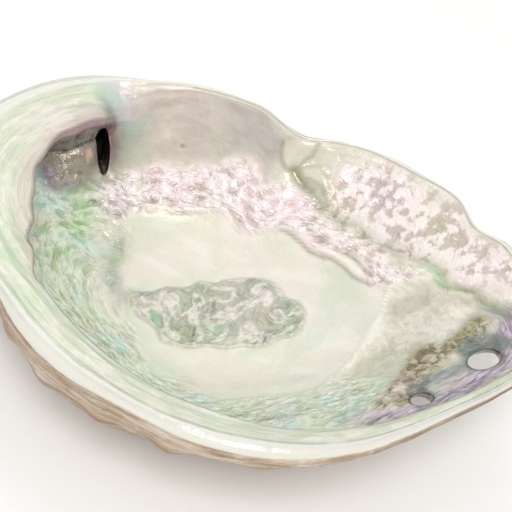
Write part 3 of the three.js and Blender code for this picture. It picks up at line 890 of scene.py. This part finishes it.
# Thickness in nanometres of the clear film on top: about 260 where the nacre is cream and 300
# where it is rosy, up to 370 in the purple channel and up to 480 where it is green.
thin_patches = add_node(tree, "ShaderNodeMapRange", {}, (patches, 0.3, 0.7, 0.0, 40.0))
film = add_node(tree, "ShaderNodeMath", plus, (240.0, thin_patches))
for name, thicker, pattern in (
    ("rosy", 38.0, None), ("purple", 90.0, films), ("green", 200.0, clouds),
    ("rough", 170.0, films), ("ledge", 195.0, None),
):
    added = add_node(tree, "ShaderNodeMath", times, (zone[name], thicker))
    if pattern is not None:
        shown = add_node(tree, "ShaderNodeMapRange", {}, (pattern, 0.45, 0.65, 0.0, 1.0))
        added = add_node(tree, "ShaderNodeMath", times, (added, shown))
    film = add_node(tree, "ShaderNodeMath", plus, (film, added))
surface_shader = add_node(tree, "ShaderNodeBsdfPrincipled", {}, {
    "Base Color": layered(tree, "#D3D3C3", layers), "IOR": 1.6,
    "Roughness": add_node(tree, "ShaderNodeMath", plus, (gloss, satin)),
    "Coat Weight": add_node(tree, "ShaderNodeMath", times, (0.3, glossy_share)),
    "Coat Roughness": 0.1, "Coat IOR": 1.6, "Normal": bump,
    "Thin Film Thickness": film, "Thin Film IOR": 1.75,
})
add_node(tree, "ShaderNodeOutputMaterial", {}, (surface_shader,))

# Chalky calcite outside, laid down rim by rim: matt tan and cream layers with eroded edges.
chalk = bpy.data.materials.new("chalky_outer_layer")
chalk.use_nodes = True
tree = chalk.node_tree
tree.nodes.clear()
growth_lines = mottling(tree, 20, 4, 1.1, 0.65)
thin_lines = mottling(tree, 10, 3, 4.0, 0.65)
blotches = mottling(tree, 11, 4)
pits = mottling(tree, 1.8, 4)
worn_lines = add_node(tree, "ShaderNodeMath", times, (thin_lines, blotches))
layers = [
    (code, add_node(tree, "ShaderNodeMapRange", {}, (pattern, low, high, 0.0, strength)))
    for pattern, low, high, strength, code in (
        (growth_lines, 0.4, 0.62, 1.0, "#D5C4AD"), (thin_lines, 0.52, 0.7, 0.65, "#866447"),
        (worn_lines, 0.27, 0.36, 0.45, "#EFE9DF"), (pits, 0.58, 0.7, 0.4, "#7B5C43"),
    )
]
pit_height = add_node(tree, "ShaderNodeMath", times, (pits, 0.5))
bump = add_node(tree, "ShaderNodeBump", {}, {
    "Strength": 1.0, "Distance": 0.001,
    "Height": add_node(tree, "ShaderNodeMath", plus, (thin_lines, pit_height)),
})
surface_shader = add_node(tree, "ShaderNodeBsdfPrincipled", {}, {
    "Base Color": layered(tree, "#A3856A", layers), "IOR": 1.5, "Normal": bump,
    "Roughness": add_node(tree, "ShaderNodeMapRange", {}, (blotches, 0.3, 0.7, 0.62, 0.82)),
})
add_node(tree, "ShaderNodeOutputMaterial", {}, (surface_shader,))

# Wrinkles and flecks of the nacre and growth lines outside, raised along the surface's own
# normals. Lengths and heights are in metres.
tree = bpy.data.node_groups.new("surface relief", "GeometryNodeTree")
defaults = {
    "Ripple Height": 0.0015, "Ripple Length": 0.0065, "Ripple Width": 0.0034,
    "Fleck Height": 0.0018, "Fleck Length": 0.009, "Fleck Width": 0.005,
    "Layer Height": 0.0012, "Layer Size": 0.011,
    "Growth Line Height": 0.0007, "Growth Line Length": 0.014, "Growth Line Width": 0.0016,
    "Fine Relief Height": 0.001, "Seed": 3.0, "Nacre": nacre, "Outer Layer": chalk,
}
tree.interface.new_socket("Geometry", in_out="INPUT", socket_type="NodeSocketGeometry")
tree.interface.new_socket("Geometry", in_out="OUTPUT", socket_type="NodeSocketGeometry")
identifiers = {}
for name, value in defaults.items():
    kind = "NodeSocketFloat" if isinstance(value, float) else "NodeSocketMaterial"
    socket = tree.interface.new_socket(name, in_out="INPUT", socket_type=kind)
    identifiers[name] = socket.identifier
group = {socket.name: socket for socket in tree.nodes.new("NodeGroupInput").outputs}
stored = {
    name: add_node(
        tree, "GeometryNodeInputNamedAttribute", {"data_type": "FLOAT"}, {"Name": name}, "Attribute")
    for name in (*relief_fields, "ripples", "flecks", "layers")
}


def streaks(across, length, width, seed_step):
    """Noise that changes slowly over a length and quickly across a width of another measure."""
    metres = add_node(tree, "ShaderNodeMath", times, (stored[across], 0.001))
    steps = add_node(tree, "ShaderNodeMath", {"operation": "DIVIDE"}, (metres, width))
    seed = add_node(tree, "ShaderNodeMath", plus, (group["Seed"], seed_step))
    shifted = add_node(tree, "ShaderNodeMath", plus, (steps, seed))
    return add_node(tree, "ShaderNodeTexNoise", {"noise_dimensions": "4D"}, {
        "W": add_node(tree, "ShaderNodeMath", times, (shifted, length)),
        "Scale": add_node(tree, "ShaderNodeMath", {"operation": "DIVIDE"}, (1.0, length)),
        "Detail": 1.6, "Roughness": 0.5,
    })


crest_sharpness = 5.0
ripple_noise = streaks("growth", group["Ripple Length"], group["Ripple Width"], 0.0)
ripple = crests(tree, ripple_noise, crest_sharpness)
fleck_noise = streaks("rim_place", group["Fleck Length"], group["Fleck Width"], 4.0)
fleck = add_node(tree, "ShaderNodeMath", minus, (fleck_noise, 0.5))
fleck = add_node(tree, "ShaderNodeMath", times, (fleck, 1.6))
layer_noise = add_node(tree, "ShaderNodeTexNoise", {"noise_dimensions": "4D"}, {
    "W": group["Seed"], "Detail": 3.0, "Roughness": 0.55, "Distortion": 1.2,
    "Scale": add_node(tree, "ShaderNodeMath", {"operation": "DIVIDE"}, (1.0, group["Layer Size"])),
})
layer_edge = crests(tree, layer_noise, crest_sharpness)
line_noise = streaks("growth", group["Growth Line Length"], group["Growth Line Width"], 7.0)
growth_line = add_node(tree, "ShaderNodeMath", minus, (line_noise, 0.5))
growth_line = add_node(tree, "ShaderNodeMath", times, (growth_line, 2.0))
height = 0.0
for value, name, tall in (
    (ripple, "ripples", "Ripple Height"), (fleck, "flecks", "Fleck Height"),
    (layer_edge, "layers", "Layer Height"), (growth_line, "outer", "Growth Line Height"),
    (1.0, "fine_relief", "Fine Relief Height"),
):
    share = add_node(tree, "ShaderNodeMath", times, (value, stored[name]))
    share = add_node(tree, "ShaderNodeMath", times, (share, group[tall]))
    height = add_node(tree, "ShaderNodeMath", plus, (height, share))
offset = add_node(tree, "ShaderNodeVectorMath", {"operation": "SCALE"}, {
    "Vector": add_node(tree, "GeometryNodeInputNormal", {}, {}), "Scale": height,
})

# The crests and the layers' edges are stored for the painted highlights and shade in the colours.
geometry = group["Geometry"]
for name, value in (
    ("layer_edge", layer_edge), ("ripple_crest", ripple), ("fleck_crest", fleck_noise),
):
    geometry = add_node(
        tree, "GeometryNodeStoreNamedAttribute", {"data_type": "FLOAT", "domain": "POINT"},
        {"Geometry": geometry, "Name": name, "Value": value})
geometry = add_node(
    tree, "GeometryNodeSetPosition", {}, {"Geometry": geometry, "Offset": offset})
geometry = add_node(tree, "GeometryNodeRealizeInstances", {}, {"Geometry": geometry})
geometry = add_node(
    tree, "GeometryNodeSetMaterial", {}, {"Geometry": geometry, "Material": group["Nacre"]})
is_outer = add_node(
    tree, "FunctionNodeCompare", {"data_type": "FLOAT", "operation": "GREATER_THAN"},
    {"A": stored["outer"], "B": 0.99})
geometry = add_node(tree, "GeometryNodeSetMaterial", {}, {
    "Geometry": geometry, "Selection": is_outer, "Material": group["Outer Layer"],
})
add_node(tree, "NodeGroupOutput", {}, (geometry,))

relief = shell.modifiers.new("surface relief", "NODES")
relief.node_group = tree
for name, value in defaults.items():
    relief[identifiers[name]] = value
apply_modifiers(shell)

# The relief stays inside the solid's box and above what the shell lies on.
count = len(shell.data.vertices)
flat = np.empty(count * 3)
shell.data.vertices.foreach_get("co", flat)
place = np.clip(flat.reshape(-1, 3), np.array(cad_box[0]), np.array(cad_box[1]))
shell.data.vertices.foreach_set("co", place.ravel())
shell.data.shade_smooth()
shell.data.update()
shell.data.name = "shell"

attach(shell, "root")
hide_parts("abalone_shell")


# Floor and light
# A pale seamless floor under a white sky, with the main soft light above in front and a weaker,
# larger one from behind on the left.
floor_paint = bpy.data.materials.new("matt_white_floor")
floor_paint.use_nodes = True
matt = floor_paint.node_tree.nodes["Principled BSDF"]
matt.inputs["Base Color"].default_value = linear("#F7F7F6")
matt.inputs["Roughness"].default_value = 0.9
floor_reach = 4
floor_corners = [
    (-floor_reach, -floor_reach, 0), (floor_reach, -floor_reach, 0),
    (floor_reach, floor_reach, 0), (-floor_reach, floor_reach, 0),
]
floor_mesh = bpy.data.meshes.new("floor")
floor_mesh.from_pydata(floor_corners, [], [(0, 1, 2, 3)])
floor_mesh.materials.append(floor_paint)
floor = bpy.data.objects.new("floor", floor_mesh)
bpy.context.collection.objects.link(floor)

world = bpy.data.worlds.new("white_sky")
world.use_nodes = True
sky = world.node_tree.nodes["Background"]
sky.inputs["Color"].default_value = (1, 1, 1, 1)
sky.inputs["Strength"].default_value = 0.75
bpy.context.scene.world = world

light_target = Vector((0, 0, 0.02))
for name, spot, width, power in (
    ("main_light", (0.2, -0.45, 0.75), 0.3, 3.4),
    ("back_light", (-0.35, 0.5, 0.7), 0.5, 1.0),
):
    light = bpy.data.lights.new(name, "AREA")
    light.size = width
    light.energy = power
    lamp = bpy.data.objects.new(name, light)
    aim = light_target - Vector(spot)
    lamp.matrix_world = Matrix.Translation(spot) @ aim.to_track_quat("-Z", "Y").to_matrix().to_4x4()
    bpy.context.collection.objects.link(lamp)
bpy.context.scene.view_settings.view_transform = "Standard"
